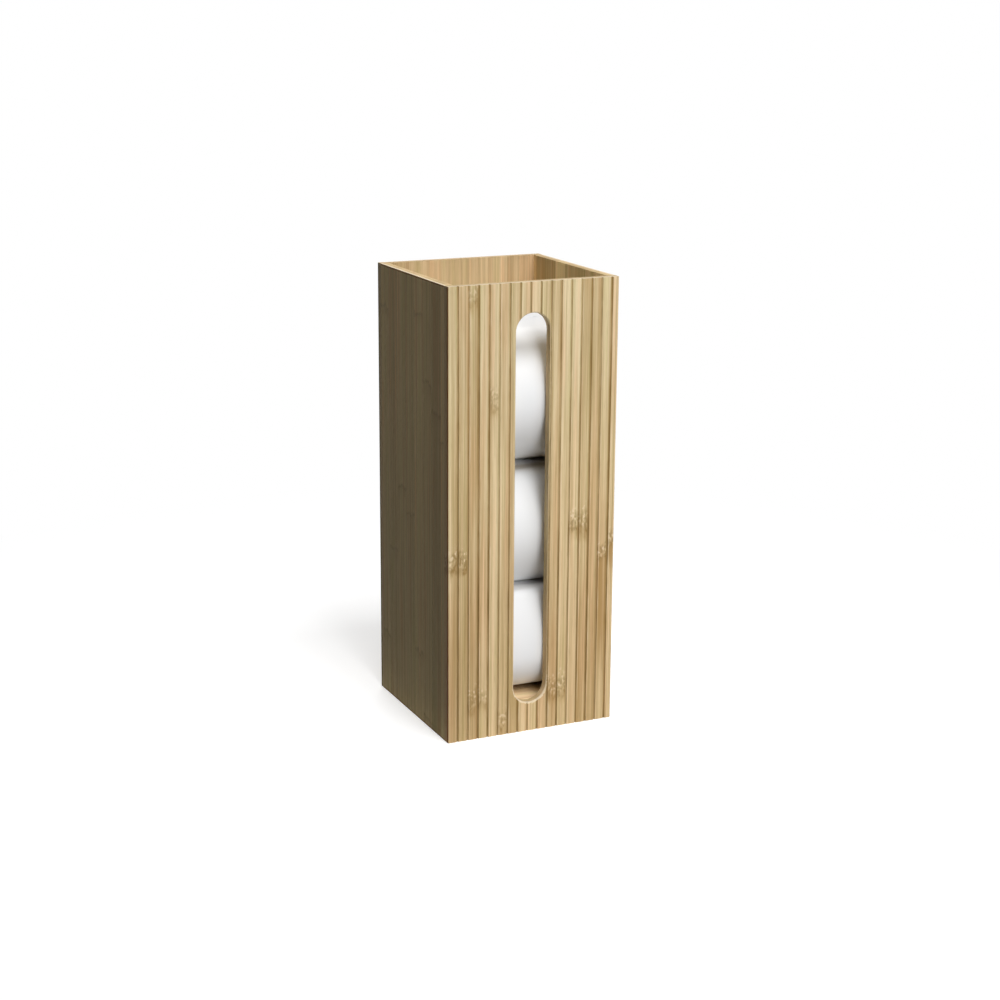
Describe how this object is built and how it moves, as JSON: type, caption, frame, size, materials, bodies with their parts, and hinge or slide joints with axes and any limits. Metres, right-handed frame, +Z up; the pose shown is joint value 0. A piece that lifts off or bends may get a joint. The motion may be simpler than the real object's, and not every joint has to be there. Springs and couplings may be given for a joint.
{
  "type": "toilet roll holder",
  "caption": "Upright open-topped bamboo box with a fluted front and a tall round-ended slot, holding three toilet rolls that lie on their sides in a stack.",
  "frame": {"origin": "centre of the holder's footprint, on the floor that it stands on", "axes": "+Z up along the box's height, -Y out of the fluted front with its slot, +X to the right as seen from the front"},
  "size_m": [0.1512, 0.1512, 0.38],
  "materials": {
    "fluted_bamboo": "satin lacquer on vertical laminated strips",
    "bamboo": "satin lacquer on flat laminated board",
    "dowel_wood": "plain turned",
    "tissue": "soft embossed white tissue",
    "core_board": "matte spiral-wound grey-brown board"
  },
  "bodies": {
    "holder": {"front_panel": "fluted_bamboo", "back_panel": "bamboo", "left_panel": "bamboo", "right_panel": "bamboo", "base_panel": "bamboo", "front_left_dowels": "dowel_wood", "front_right_dowels": "dowel_wood", "back_left_dowels": "dowel_wood", "back_right_dowels": "dowel_wood"},
    "roll_bottom": {"bottom_roll": "tissue", "bottom_core": "core_board"},
    "roll_middle": {"middle_roll": "tissue", "middle_core": "core_board"},
    "roll_top": {"top_roll": "tissue", "top_core": "core_board"}
  },
  "joints": [
    {"name": "lift_bottom_roll", "type": "slide", "parent": "holder", "child": "roll_bottom", "axis": [0, 0, 1], "range_m": [0, 0.36]},
    {"name": "lift_middle_roll", "type": "slide", "parent": "roll_bottom", "child": "roll_middle", "axis": [0, 0, 1], "range_m": [0, 0.27]},
    {"name": "lift_top_roll", "type": "slide", "parent": "roll_middle", "child": "roll_top", "axis": [0, 0, 1], "range_m": [0, 0.165]}
  ]
}
